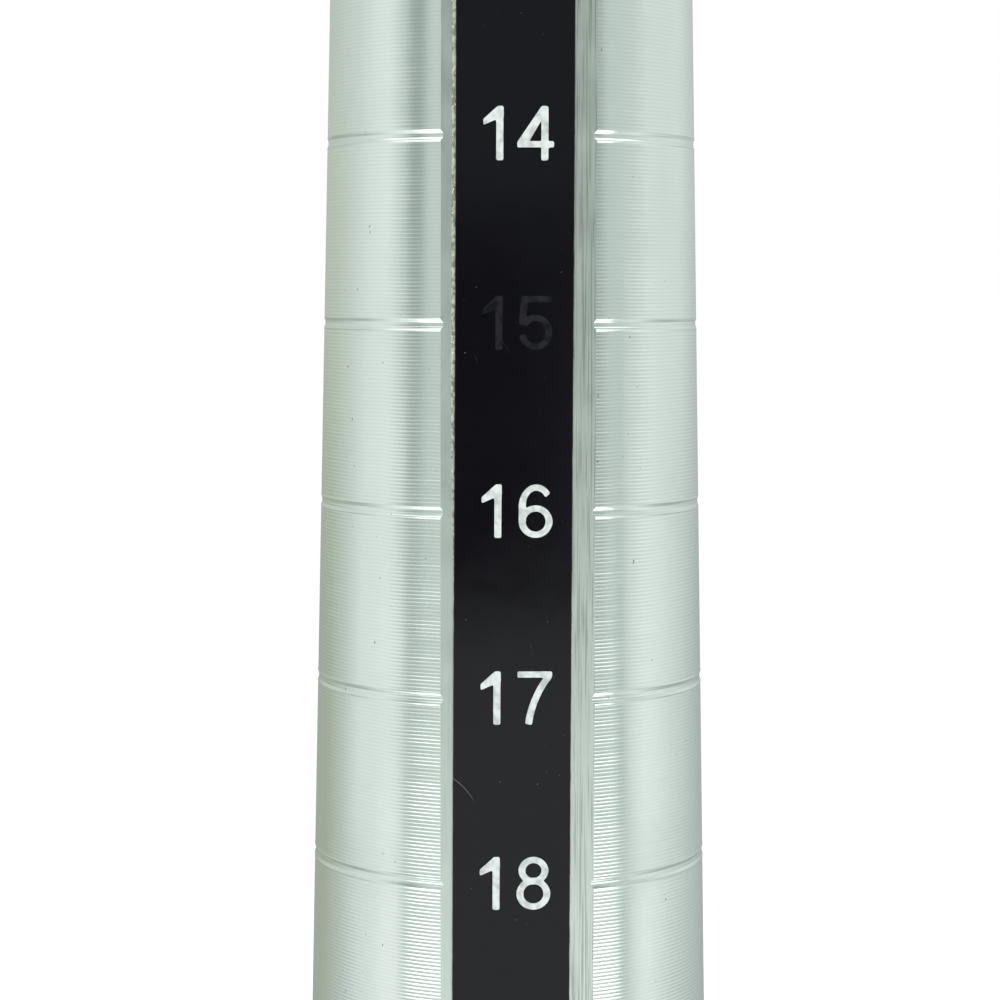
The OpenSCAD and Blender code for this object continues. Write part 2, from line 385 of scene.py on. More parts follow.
def outlines(strokes):
    """The closed outlines of a digit's ink, by marching squares over its cell."""
    step, margin = 0.028, 0.06
    columns, rows = math.ceil((CELL_W + 2 * margin) / step), math.ceil((1 + 2 * margin) / step)

    def at(i, j):
        """The place of a grid point."""
        return i * step - margin, j * step - margin

    level = [[ink_level(strokes, *at(i, j)) for j in range(rows + 1)] for i in range(columns + 1)]

    def crossing(a, b):
        """The point of the grid edge a-b where the level is 0, under a key both cells share."""
        la, lb = level[a[0]][a[1]], level[b[0]][b[1]]
        t = la / (la - lb)
        pa, pb = at(*a), at(*b)
        return (min(a, b), max(a, b)), (pa[0] + (pb[0] - pa[0]) * t, pa[1] + (pb[1] - pa[1]) * t)

    places, following = {}, {}
    for i in range(columns):
        for j in range(rows):
            corners = [(i, j), (i + 1, j), (i + 1, j + 1), (i, j + 1)]
            inside = [level[a][b] < 0 for a, b in corners]
            enters, leaves = [], []
            for k in range(4):
                a, b = corners[k], corners[(k + 1) % 4]
                if inside[k] != inside[(k + 1) % 4]:
                    key, place = crossing(a, b)
                    places[key] = place
                    (leaves if inside[k] else enters).append(key)
            for key in leaves:
                following[key] = enters.pop(0)
    loops = []
    while following:
        key, loop = next(iter(following)), []
        while key in following:
            loop.append(places[key])
            key = following.pop(key)
        loops.append(loop)
    return loops


def numeral_parts():
    """Points and faces of all the printed numbers, each digit a closed solid on the film."""
    shapes = {}
    for value in range(10):
        loops = outlines(DIGITS[value])
        flat = [[Vector((x, y, 0)) for x, y in loop] for loop in loops]
        shapes[value] = (loops, tessellate_polygon(flat))
    low = ADHESIVE_T + STRIP_T
    points, faces = [], []
    for n in range(1, SIZE_COUNT + 1):
        digits = [int(c) for c in str(n)]
        s = (size_z(n) - SIZE_ONE_Z) / math.cos(FLAT_ANGLE) + NUMERAL_UP
        thick = WORN_INK_T if n == WORN_SIZE else INK_T
        for i, value in enumerate(digits):
            loops, triangles = shapes[value]
            base, total = len(points), sum(len(loop) for loop in loops)
            for h in (low, low + thick):
                for loop in loops:
                    for x, y in loop:
                        along = s + (y - 0.5) * NUMERAL_H
                        across = (x + (i - len(digits) / 2) * CELL_W) * NUMERAL_H
                        across += strip_middle(along) + NUMERAL_RIGHT
                        points.append(ON_FLAT @ Vector((across, along, h)))
            first = base
            for loop in loops:
                for k in range(len(loop)):
                    a, b = first + k, first + (k + 1) % len(loop)
                    faces.append([b, a, a + total, b + total])
                first += len(loop)
            for triangle in triangles:
                a, b, c = (base + t for t in triangle)
                up = (points[b] - points[a]).cross(points[c] - points[a]).y < 0
                faces.append([a + total, b + total, c + total] if up else [c + total, b + total, a + total])
                faces.append([c, b, a] if up else [a, b, c])
    return points, faces


# ---------------------------------------------------------------- the pieces' shapes


def bar_profile():
    """The gauge bar's half section, from the tapped hole in its root round to the tip's centre hole."""
    chamfer = 0.6 * MM
    shape = [(0, SPIGOT_Z + TAP_DEPTH), (TAP_R, SPIGOT_Z + TAP_DEPTH), (TAP_R, SPIGOT_Z)]
    shape += [(SPIGOT_R - chamfer, SPIGOT_Z), (SPIGOT_R, SPIGOT_Z + chamfer)]
    shape += [(SPIGOT_R, SPIGOT_FLAT_TOP), (SPIGOT_R, SPIGOT_FLAT_TOP + STEP), (SPIGOT_R, SHOULDER_Z)]
    shape += [(bar_r(SHOULDER_Z) - chamfer / 2, SHOULDER_Z), (bar_r(SHOULDER_Z), SHOULDER_Z + chamfer / 2)]
    rim = GROOVE_W / 2
    bed = rim - GROOVE_WALL
    burr = rim + BURR_W
    section = [(-burr, 0), (-rim, -BURR_H), (-bed, GROOVE_DEPTH), (bed, GROOVE_DEPTH)]
    section += [(rim, -BURR_H), (burr, 0)]
    for n in range(SIZE_COUNT, 0, -1):
        for along, deep in section:
            z = size_z(n) + along
            shape.append((bar_r(z) - deep, z))
    tip_r = bar_r(TIP_Z)
    shape += arc((tip_r - TIP_C, TIP_Z - TIP_C), TIP_C, 0, 90, 10)
    cone = CENTRE_R / math.tan(math.radians(CENTRE_HALF_ANGLE))
    neck = TIP_Z - cone * (1 - CENTRE_PILOT_R / CENTRE_R)
    shape += [(CENTRE_R, TIP_Z), (CENTRE_PILOT_R, neck), (CENTRE_PILOT_R, TIP_Z - CENTRE_PILOT_LEN)]
    shape.append((0, TIP_Z - CENTRE_PILOT_LEN))
    return shape


def cut_flat(points, faces):
    """Mills the flat: drops what lies outside its plane and closes the cut. Gives the new points and
    faces, and for each face 1 where it is the flat and 0 elsewhere."""
    tolerance = 1e-8
    mesh = bpy.data.meshes.new("cut")
    mesh.from_pydata([tuple(p) for p in points], [], faces)
    bm = bmesh.new()
    bm.from_mesh(mesh)
    bpy.data.meshes.remove(mesh)
    normal = ON_FLAT.to_3x3() @ Vector((0, 0, 1))
    bmesh.ops.bisect_plane(
        bm,
        geom=bm.verts[:] + bm.edges[:] + bm.faces[:],
        dist=tolerance,
        plane_co=ON_FLAT.translation,
        plane_no=normal,
        clear_outer=True,
    )
    rim = [e for e in bm.edges if e.is_boundary]
    made = bmesh.ops.contextual_create(bm, geom=rim)["faces"]
    for f in made:
        if f.normal.dot(normal) < 0:
            f.normal_flip()
    flat = set(made)
    bm.verts.index_update()
    new_points = [v.co.copy() for v in bm.verts]
    new_faces = [[v.index for v in f.verts] for f in bm.faces]
    kinds = [1 if f in flat else 0 for f in bm.faces]
    bm.free()
    return new_points, new_faces, kinds


def spigot_radius(r, z, angle):
    """The radius of the spigot or its socket, which have a flat on their +Y side."""
    reach = max(math.sin(angle), SPIGOT_FLAT_R / SPIGOT_R)
    return min(r, SPIGOT_FLAT_R / reach) if z <= SPIGOT_FLAT_TOP else r


def grip_radius(r, z, angle):
    """The grip's radius: fluted outside, with a soft edge to each round-ended flute."""
    if r <= SPIGOT_R and z > WEB_Z:
        return spigot_radius(r, z, angle)
    soft = 0.35 * MM
    step = 2 * math.pi / FLUTE_COUNT
    off = (angle % step) - step / 2
    centre = GRIP_R + FLUTE_R - FLUTE_DEPTH
    low, high = GRIP_Z + FLUTE_INSET, GRIP_TOP_Z - FLUTE_INSET
    past = max(low - z, z - high, 0)
    reach = FLUTE_R**2 - past**2 - (centre * math.sin(off)) ** 2
    if reach <= 0:
        return r
    cut = centre * math.cos(off) - math.sqrt(reach)
    share = max(0, min(1, 0.5 + 0.5 * (r - cut) / soft))
    return min(r, r * (1 - share) + cut * share - soft * share * (1 - share) * 0.5)


def grip_profile():
    """The grip's section as a closed loop: out along the foot, up the outside, down the bores."""
    edge, rows = 1 * MM, 110
    lead_in = 0.3 * MM
    shape = [(BORE_R + lead_in, GRIP_Z)]
    shape += arc((GRIP_R - edge, GRIP_Z + edge), edge, -90, 0, 8)
    span = GRIP_TOP_Z - GRIP_Z - 2 * edge
    shape += [(GRIP_R, GRIP_Z + edge + span * i / rows) for i in range(1, rows)]
    shape += arc((GRIP_R - edge, GRIP_TOP_Z - edge), edge, 0, 90, 8)
    floor = SPIGOT_Z - SOCKET_GAP
    shape += [(SPIGOT_R, GRIP_TOP_Z), (SPIGOT_R, SPIGOT_FLAT_TOP + STEP), (SPIGOT_R, SPIGOT_FLAT_TOP)]
    shape += [(SPIGOT_R, floor), (CLEARANCE_R, floor), (CLEARANCE_R, WEB_Z)]
    shape += [(BORE_R, WEB_Z), (BORE_R, GRIP_Z + lead_in)]
    return shape


def ferrule_profile():
    """The collar: bevelled at its top and foot, with the top bevel's corners eased."""
    bevel, edge, ease = 1.2 * MM, 0.6 * MM, 0.25 * MM
    less, more = ease * 0.3, ease * 0.7
    top = SHOULDER_Z - bevel
    shape = [(SPIGOT_R, FERRULE_Z), (FERRULE_R - edge, FERRULE_Z), (FERRULE_R, FERRULE_Z + edge)]
    shape += [(FERRULE_R, top - ease), (FERRULE_R - less, top + more)]
    shape += [(FERRULE_R - bevel + more, SHOULDER_Z - less)]
    shape += [(FERRULE_R - bevel - ease, SHOULDER_Z), (SPIGOT_R, SHOULDER_Z)]
    return shape


def cap_profile():
    """The end cap: its flange, the plug up the bore and the recess for the pad."""
    edge, plug_edge, plug_len = 1 * MM, 0.6 * MM, 9 * MM
    shape = [(0, PAD_T), (PAD_R, PAD_T), (PAD_R, CAP_Z), (GRIP_R - edge, CAP_Z)]
    shape += arc((GRIP_R - edge, CAP_Z + edge), edge, -90, 0, 6)[1:]
    shape += arc((GRIP_R - edge / 2, GRIP_Z - edge / 2), edge / 2, 0, 90, 4)
    shape += [(BORE_R, GRIP_Z), (BORE_R, GRIP_Z + plug_len - plug_edge)]
    shape += [(BORE_R - plug_edge, GRIP_Z + plug_len), (0, GRIP_Z + plug_len)]
    return shape


def pad_profile():
    """The round rubber pad, its lower edge rounded."""
    edge = 0.3 * MM
    shape = [(0, 0)]
    shape += arc((PAD_R - edge, edge), edge, -90, 0, 5)
    shape += [(PAD_R, PAD_T), (0, PAD_T)]
    return shape


# ---------------------------------------------------------------- shader nodes


def node(tree, kind, inputs=None, **settings):
    """A new shader node. inputs gives its sockets, by name or number, a value or a socket to link."""
    made = tree.nodes.new("ShaderNode" + kind)
    for key, value in settings.items():
        setattr(made, key, value)
    for key, value in (inputs or {}).items():
        if isinstance(value, bpy.types.NodeSocket):
            tree.links.new(value, made.inputs[key])
        else:
            made.inputs[key].default_value = value
    return made


def calc(tree, operation, *values):
    """The result of a Math node."""
    return node(tree, "Math", dict(enumerate(values)), operation=operation).outputs[0]


def smooth_step(tree, value, low, high):
    """0 where value is at low, 1 where it is at high, and smooth between."""
    settings = {"Value": value, "From Min": low, "From Max": high}
    return node(tree, "MapRange", settings, interpolation_type="SMOOTHSTEP").outputs[0]


def light_ramp(tree, value, stops):
    """Light looked up in (position, brightness) stops: cool where it is dim, neutral where bright.
    The stops' places are all set first, because the ramp sorts its elements by place."""
    made = node(tree, "ValToRGB", {"Fac": value})
    ramp = made.color_ramp
    while len(ramp.elements) < len(stops):
        ramp.elements.new(0.5)
    for element, (position, grey) in zip(ramp.elements, stops):
        element.position = position
    for element, (position, grey) in zip(ramp.elements, stops):
        warmth = min(grey * PEAK, 1)
        red, blue = 0.86 + 0.17 * warmth, 0.98 + 0.03 * warmth
        element.color = (grey * red, grey, grey * blue, 1)
    return made.outputs["Color"]


def blend_colours(tree, share, first, second):
    """The mix of two colours, second where share is 1."""
    made = node(tree, "Mix", {0: share}, data_type="RGBA", clamp_factor=True)
    for socket, colour in ((6, first), (7, second)):
        if isinstance(colour, bpy.types.NodeSocket):
            tree.links.new(colour, made.inputs[socket])
        else:
            made.inputs[socket].default_value = (*colour, 1)
    return made.outputs[2]


def place(tree):
    """The shaded point's place in the row frame, as a vector."""
    return node(tree, "TexCoord").outputs["Object"]


def stretched(tree, scale, detail=2, turn=0):
    """Noise of the place, with scale bumps to a metre on each axis, after a turn about Y."""
    vector = node(tree, "Mapping", {"Vector": place(tree), "Rotation": (0, turn, 0)}).outputs[0]
    vector = node(tree, "VectorMath", {0: vector, 1: scale}, operation="MULTIPLY").outputs[0]
    return node(tree, "TexNoise", {"Vector": vector, "Scale": 1, "Detail": detail}).outputs["Fac"]


def grains(tree, scale, detail=2):
    """Even noise, with scale bumps to a metre."""
    return stretched(tree, (scale, scale, scale), detail)


def bump(tree, height, distance, onto=None):
    """A normal from a height of 0 to 1 that stands for a distance in metres, on another bump or none."""
    inputs = {"Height": height, "Distance": distance, "Strength": 1}
    if onto:
        inputs["Normal"] = onto
    return node(tree, "Bump", inputs).outputs[0]


def material(name, colour, **settings):
    """A new material with one Principled shader, and its tree."""
    made = bpy.data.materials.new(name)
    made.use_nodes = True
    made.diffuse_color = (*colour, 1)
    tree = made.node_tree
    shader = tree.nodes["Principled BSDF"]
    shader.inputs["Base Color"].default_value = (*colour, 1)
    for key, value in settings.items():
        shader.inputs[key.replace("_", " ")].default_value = value
    return made, tree, shader


def connect(tree, shader, **sockets):
    """Links sockets to the shader's inputs, named with _ for a space."""
    for key, socket in sockets.items():
        tree.links.new(socket, shader.inputs[key.replace("_", " ")])


# ---------------------------------------------------------------- materials

# Noise is scaled in bumps to a metre. The two numbers after it in a smooth_step are the heights of
# the noise between which a mark or a tint comes in.

ALUMINIUM = (0.79, 0.90, 0.84)
MILLED = (0.812, 0.94, 0.85)
SATIN = (0.74, 0.83, 0.785)

# The tool marks on the bar and on the handle's metal, and the depth of the fine lines between them
FEED_PITCH = 0.167 * MM
FEED_DEPTH = 0.0045 * MM
LINE_DEPTH = 0.0016 * MM
SATIN_PITCH = 0.11 * MM
SATIN_DEPTH = 0.002 * MM


def feed_marks(tree, pitch):
    """The height of a turned surface, 0 in a tool mark's middle and 1 on the ridge between two."""
    axes = node(tree, "SeparateXYZ", {0: place(tree)}).outputs
    turns = calc(tree, "DIVIDE", calc(tree, "ARCTAN2", axes[1], axes[0]), 2 * math.pi)
    phase = calc(tree, "MULTIPLY_ADD", axes[2], 1 / pitch, turns)
    chatter = calc(tree, "MULTIPLY", stretched(tree, (60, 60, 900)), 0.35)
    share = calc(tree, "FRACT", calc(tree, "ADD", phase, chatter))
    return calc(tree, "MULTIPLY", calc(tree, "POWER", calc(tree, "SUBTRACT", share, 0.5), 2), 4)


def turned_aluminium():
    """Turned metal: tool marks of uneven depth, fine lines between them, handling smudges, and painted
    shade in the hollows of the tool marks.
    """
    made, tree, shader = material("turned_aluminium", ALUMINIUM, Metallic=1)
    marks = feed_marks(tree, FEED_PITCH)
    uneven = smooth_step(tree, stretched(tree, (90, 90, 2600)), 0.3, 0.7)
    marks = calc(tree, "MULTIPLY", marks, calc(tree, "MULTIPLY_ADD", uneven, 0.4, 0.7))
    lines = stretched(tree, (150, 150, 24000), 1)
    normal = bump(tree, marks, FEED_DEPTH)
    normal = bump(tree, lines, LINE_DEPTH, normal)
    smudge = smooth_step(tree, grains(tree, 160, 4), 0.42, 0.72)
    rough = calc(tree, "MULTIPLY_ADD", smudge, 0.06, 0.12)
    rough = calc(tree, "MULTIPLY_ADD", lines, 0.06, rough)
    # smudged is the colour of handling smudges, shaded is a painted shade colour for the hollows of the
    # tool marks, and pitted is the colour of pits
    smudged, shaded, pitted = (0.75, 0.86, 0.80), (0.66, 0.77, 0.72), (0.16, 0.20, 0.20)
    tint = blend_colours(tree, smudge, ALUMINIUM, smudged)
    # Painted shade: the hollows of the tool marks are darkened towards the shaded colour, where shade would
    # fall
    groove = smooth_step(tree, marks, 0.25, 0)
    tint = blend_colours(tree, calc(tree, "MULTIPLY", groove, 0.35), tint, shaded)
    pits = smooth_step(tree, stretched(tree, (5200, 5200, 3800), 1), 0.785, 0.81)
    tint = blend_colours(tree, calc(tree, "MULTIPLY", pits, 0.75), tint, pitted)
    connect(tree, shader, Base_Color=tint, Roughness=rough, Normal=normal)
    return made


def milled_aluminium():
    """The milled flat: a fine grain on the left of the strip, long scratches on the right of it."""
    made, tree, shader = material("milled_aluminium", MILLED, Metallic=1)
    scratched = (0.46, 0.54, 0.485)
    across = node(tree, "SeparateXYZ", {0: place(tree)}).outputs[0]
    right = smooth_step(tree, across, 0, 1.5 * MM)
    grain = grains(tree, 9000, 3)
    streaks = stretched(tree, (15000, 3000, 200), 4)
    height = calc(tree, "MULTIPLY", streaks, calc(tree, "MULTIPLY_ADD", right, 0.75, 0.25))
    normal = bump(tree, height, 0.012 * MM)
    normal = bump(tree, grain, 0.004 * MM, normal)
    deep = smooth_step(tree, streaks, 0.52, 0.36)
    deep = calc(tree, "MULTIPLY", deep, calc(tree, "MULTIPLY_ADD", right, 0.75, 0.12))
    tint = blend_colours(tree, deep, MILLED, scratched)
    rough = calc(tree, "MULTIPLY_ADD", grains(tree, 700, 3), 0.16, 0.27)
    connect(tree, shader, Base_Color=tint, Roughness=rough, Normal=normal)
    return made


def level_lines(tree, scale, width, turn):
    """Thin curved lines of a width, where a soft noise of a scale and turn passes its middle value."""
    off = calc(tree, "ABSOLUTE", calc(tree, "SUBTRACT", stretched(tree, scale, 0, turn), 0.5))
    return smooth_step(tree, off, width, width * 0.3)


def black_film():
    """Glossy black film with dust specks and a few hairline scratches."""
    black, grey = (0.0028, 0.0028, 0.0042), (0.12, 0.12, 0.115)
    made, tree, shader = material("black_film", black, IOR=1.46)
    dust = smooth_step(tree, grains(tree, 8200, 1), 0.80, 0.825)
    kept = smooth_step(tree, grains(tree, 260, 0), 0.74, 0.79)
    lines = level_lines(tree, (500, 500, 90), 0.0014, 0.5)
    hairs = calc(tree, "MULTIPLY", lines, kept)
    marked = calc(tree, "MAXIMUM", calc(tree, "MULTIPLY", dust, 0.7), hairs)
    tint = blend_colours(tree, marked, black, grey)
    haze = smooth_step(tree, grains(tree, 420, 3), 0.35, 0.75)
    rough = calc(tree, "MULTIPLY_ADD", haze, 0.05, 0.05)
    rough = calc(tree, "MULTIPLY_ADD", marked, 0.3, rough)
    normal = bump(tree, grains(tree, 900, 1), 0.0015 * MM)
    connect(tree, shader, Base_Color=tint, Roughness=rough, Normal=normal)
    return made


def adhesive():
    """The edge of the adhesive layer, dull and yellowish, with grit stuck to it."""
    made, tree, shader = material("adhesive", (0.30, 0.32, 0.25), Roughness=0.55)
    dark, light, gritty = (0.17, 0.20, 0.15), (0.40, 0.45, 0.36), (0.66, 0.67, 0.60)
    soiled = smooth_step(tree, stretched(tree, (6000, 6000, 4200), 3), 0.40, 0.60)
    tint = blend_colours(tree, soiled, dark, light)
    grit = smooth_step(tree, grains(tree, 8000, 1), 0.64, 0.70)
    tint = blend_colours(tree, grit, tint, gritty)
    normal = bump(tree, grains(tree, 6000, 2), 0.02 * MM)
    connect(tree, shader, Base_Color=tint, Normal=normal)
    return made


def white_ink():
    """Printed ink, a little blotchy, and worn to a dark trace at one size."""
    made, tree, shader = material("white_ink", (0.50, 0.55, 0.53), Roughness=0.45)
    thin, thick, bare = (0.36, 0.405, 0.385), (0.55, 0.605, 0.585), (0.25, 0.26, 0.25)
    faint, clear = (0.003, 0.0032, 0.005), (0.012, 0.0125, 0.016)
    height = node(tree, "SeparateXYZ", {0: place(tree)}).outputs[2]
    blotch = smooth_step(tree, grains(tree, 2600, 3), 0.3, 0.62)
    fresh = blend_colours(tree, blotch, thin, thick)
    pinholes = smooth_step(tree, grains(tree, 9000, 1), 0.74, 0.78)
    fresh = blend_colours(tree, pinholes, fresh, bare)
    off = calc(tree, "ABSOLUTE", calc(tree, "SUBTRACT", height, size_z(WORN_SIZE)))
    worn = smooth_step(tree, off, NUMERAL_H * 1.2, NUMERAL_H)
    trace = blend_colours(tree, blotch, faint, clear)
    tint = blend_colours(tree, worn, fresh, trace)
    rough = calc(tree, "MULTIPLY_ADD", worn, -0.33, 0.45)
    normal = bump(tree, grains(tree, 12000, 2), 0.004 * MM)
    connect(tree, shader, Base_Color=tint, Roughness=rough, Normal=normal)
    return made


def satin_aluminium():
    """Finely turned metal, a little duller than the bar."""
    smudged = (0.67, 0.755, 0.71)
    made, tree, shader = material("satin_aluminium", SATIN, Metallic=1)
    lines = stretched(tree, (120, 120, 16000), 2)
    normal = bump(tree, feed_marks(tree, SATIN_PITCH), SATIN_DEPTH)
    normal = bump(tree, lines, SATIN_DEPTH, normal)
    smudge = smooth_step(tree, grains(tree, 210, 4), 0.4, 0.7)
    rough = calc(tree, "MULTIPLY_ADD", smudge, 0.1, 0.3)
    tint = blend_colours(tree, smudge, SATIN, smudged)
    connect(tree, shader, Base_Color=tint, Roughness=rough, Normal=normal)
    return made


def grip_plastic():
    """Moulded black plastic with a fine texture, polished by the hand on its ribs."""
    made, tree, shader = material("grip_plastic", (0.020, 0.020, 0.022), IOR=1.5)
    axes = node(tree, "SeparateXYZ", {0: place(tree)}).outputs
    flat = node(tree, "CombineXYZ", {0: axes[0], 1: axes[1]}).outputs[0]
    radius = node(tree, "VectorMath", {0: flat}, operation="LENGTH").outputs["Value"]
    rib = smooth_step(tree, radius, GRIP_R - 0.25 * MM, GRIP_R - 0.02 * MM)
    handled = calc(tree, "MULTIPLY", rib, smooth_step(tree, grains(tree, 140, 3), 0.4, 0.6))
    rough = calc(tree, "MULTIPLY_ADD", handled, -0.16, 0.52)
    dust = smooth_step(tree, grains(tree, 2600, 4), 0.56, 0.75)
    clean, dusty = (0.018, 0.018, 0.020), (0.036, 0.036, 0.037)
    tint = blend_colours(tree, dust, clean, dusty)
    texture = node(tree, "TexVoronoi", {"Vector": place(tree), "Scale": 2400}).outputs["Distance"]
    normal = bump(tree, texture, 0.03 * MM)
    normal = bump(tree, grains(tree, 7000, 2), 0.012 * MM, normal)
    connect(tree, shader, Base_Color=tint, Roughness=rough, Normal=normal)
    return made


def black_steel():
    """Black oxide on steel, rubbed a little brighter in places."""
    made, tree, shader = material("black_steel", (0.09, 0.09, 0.10), Metallic=1)
    rubbed = smooth_step(tree, grains(tree, 700, 4), 0.55, 0.75)
    oxide, steel = (0.07, 0.07, 0.078), (0.17, 0.165, 0.16)
    tint = blend_colours(tree, rubbed, oxide, steel)
    rough = calc(tree, "MULTIPLY_ADD", grains(tree, 2500, 3), 0.25, 0.32)
    normal = bump(tree, grains(tree, 6000, 3), 0.01 * MM)
    connect(tree, shader, Base_Color=tint, Roughness=rough, Normal=normal)
    return made


def plated_steel():
    """Bright zinc plating with a fine crystalline mottle."""
    made, tree, shader = material("plated_steel", (0.62, 0.63, 0.65), Metallic=1)
    cells = node(tree, "TexVoronoi", {"Vector": place(tree), "Scale": 1600}).outputs["Color"]
    mottle = node(tree, "SeparateColor", {0: cells}).outputs[0]
    dull, bright = (0.56, 0.57, 0.59), (0.68, 0.69, 0.70)
    tint = blend_colours(tree, mottle, dull, bright)
    rough = calc(tree, "MULTIPLY_ADD", mottle, 0.1, 0.24)
    normal = bump(tree, grains(tree, 5000, 3), 0.006 * MM)
    connect(tree, shader, Base_Color=tint, Roughness=rough, Normal=normal)
    return made


def pad_rubber():
    """Dull moulded rubber with bench dust in its grain."""
    made, tree, shader = material("pad_rubber", (0.03, 0.03, 0.032), Roughness=0.8)
    dust = smooth_step(tree, grains(tree, 900, 5), 0.5, 0.75)
    clean, dusty = (0.024, 0.024, 0.026), (0.075, 0.073, 0.068)
    tint = blend_colours(tree, dust, clean, dusty)
    rough = calc(tree, "MULTIPLY_ADD", dust, 0.12, 0.72)
    normal = bump(tree, grains(tree, 5200, 3), 0.03 * MM)
    connect(tree, shader, Base_Color=tint, Roughness=rough, Normal=normal)
    return made


# ---------------------------------------------------------------- the object


def build_bar(turned, milled):
    """The gauge bar. Its crisp angle is a small one, so that the grooves' sides stay flat."""
    crisp = 12
    points, faces = lathe(bar_profile(), BAR_SEGMENTS, spigot_radius)
    points, faces, kinds = cut_flat(points, faces)
    piece = add_piece("bar", points, faces, [turned, milled], kinds, crisp)
    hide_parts("gauge_bar")


def build_strip(film, glue):
    """The film and the adhesive under it, which shows a ragged margin on the left."""
    half = STRIP_W / 2
    low, high = ADHESIVE_T, ADHESIVE_T + STRIP_T
    waver, step, bevel = 0.014 * MM, 0.25 * MM, 0.03 * MM
    left = ragged(-half, waver, 0.6 * MM, 3)
    right = ragged(half, waver, 0.8 * MM, 8)
    points, faces = ribbon(left, right, STRIP_BOTTOM_S, STRIP_TOP_S, low, high, step, bevel)
    piece = add_piece("film", points, faces, [film])
    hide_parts("number_strip")

    inset, fray, grain, step, bevel = 0.04 * MM, 0.05 * MM, 0.13 * MM, 0.06 * MM, 0.012 * MM
    tuck = 0.05 * MM
    frayed = ragged(inset - half, fray, grain, 5)

    def margin(s):
        """The adhesive's left side, past the film's."""
        return frayed(s) - adhesive_margin(s)

    def hidden(s):
        """The adhesive's right side, tucked under the film."""
        return strip_middle(s) + half - tuck

    points, faces = ribbon(margin, hidden, STRIP_BOTTOM_S, STRIP_TOP_S, 0, low, step, bevel)
    piece = add_piece("glue_layer", points, faces, [glue])
    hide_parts("strip_adhesive")


def build_numerals(ink):
    """All the printed numbers, as one piece."""
    points, faces = numeral_parts()
    piece = add_piece("printed_numbers", points, faces, [ink])
    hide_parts("size_numerals")


def build_turned(name, profile, made, node_name, radius=None):
    """A piece of the handle, turned from its profile, in the place of a CAD node."""
    points, faces = lathe(profile, HANDLE_SEGMENTS, radius)
    piece = add_piece(name, points, faces, [made])
    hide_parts(node_name)


def dress(node_name, made):
    """Gives a CAD node that stays as it is its material."""
    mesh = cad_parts[node_name].data
    mesh.materials.clear()
    mesh.materials.append(made)


satin = satin_aluminium()
plated = plated_steel()
build_bar(turned_aluminium(), milled_aluminium())
build_strip(black_film(), adhesive())
build_numerals(white_ink())
build_turned("collar", ferrule_profile(), satin, "ferrule")
build_turned("grip", grip_profile(), grip_plastic(), "handle_grip", grip_radius)
build_turned("cap", cap_profile(), satin, "end_cap")
build_turned("pad", pad_profile(), pad_rubber(), "foot_pad")
dress("clamp_screw", black_steel())
dress("spring_washer", plated)
dress("flat_washer", plated)


# ---------------------------------------------------------------- floor, light and camera

# Brightness of the surroundings against the direction, in degrees to the right of the camera's
# side: at the height of the scale, below it, high up, on the table, and right under the bar
ABOVE = (
    (-180, 0.50), (-160, 0.57), (-142, 0.62), (-113, 0.72), (-97, 0.83), (-84, 0.90), (-77, 0.76),
    (-71, 0.62), (-66, 0.40), (-60, 0.38), (-54, 0.72), (-46, 0.68), (-36, 0.54), (-20, 0.48),
    (0, 0.25), (14, 0.20), (24, 0.28), (42, 0.44), (50, 0.38), (54, 0.44), (59, 0.68), (80, 0.68),
    (91, 0.80), (125, 0.80), (144, 0.66), (165, 0.56), (180, 0.50),
)
BELOW = (
    (-180, 0.40), (-140, 0.45), (-119, 0.60), (-102, 0.84), (-88, 0.84), (-79, 0.94), (-70, 0.94),
    (-64, 0.58), (-50, 0.62), (-36, 0.84), (-14, 0.98), (-8, 0.62), (12, 0.62), (18, 1.00),
    (30, 1.10), (43, 0.82), (49, 0.66), (61, 0.68), (66, 0.50), (74, 0.84), (84, 0.96), (100, 0.85),
    (116, 0.72), (132, 0.60), (150, 0.50), (180, 0.40),
)
TOP = ((-180, 0.5), (-112, 0.5), (-90, 1.7), (90, 1.7), (112, 0.5), (180, 0.5))
DEEP = (
    (-180, 0.4), (-110, 0.5), (-94, 0.8), (-74, 1.0), (-66, 0.9), (-62, 2.1), (-46, 2.1), (-38, 1.0),
    (7, 1.0), (14, 1.6), (38, 1.6), (46, 2.5), (62, 2.5), (67, 0.6), (84, 0.9), (110, 0.5),
    (180, 0.4),
)
UNDER = ((-180, 0.6), (180, 0.6))

# The greatest brightness, which stands for 1 in the ramps
PEAK = 2.5

# Where each of these takes over from the one before, as the sine of a direction's height: none of
# it at the first number, all of it at the second
TIERS = ((BELOW, 0.06, -0.14), (TOP, 0.50, 0.58), (DEEP, -0.20, -0.34), (UNDER, -0.62, -0.70))

# An olive wall behind on the left: the direction of its middle, how far to each side it reaches at
# full and at all, and the heights where it starts and is at full
OLIVE_TINT = (1.01, 1, 0.85)
OLIVE_AT = -146
OLIVE_FULL = 10
OLIVE_REACH = 34
OLIVE_START_Z = 0.3
OLIVE_FULL_Z = -0.1

# The dark camera at the level of the scale, with the same measures
CAMERA_GREY = 0.05
CAMERA_AT = -2.7
CAMERA_FULL = 5
CAMERA_REACH = 9
CAMERA_START_Z = 0.09
CAMERA_FULL_Z = 0.055


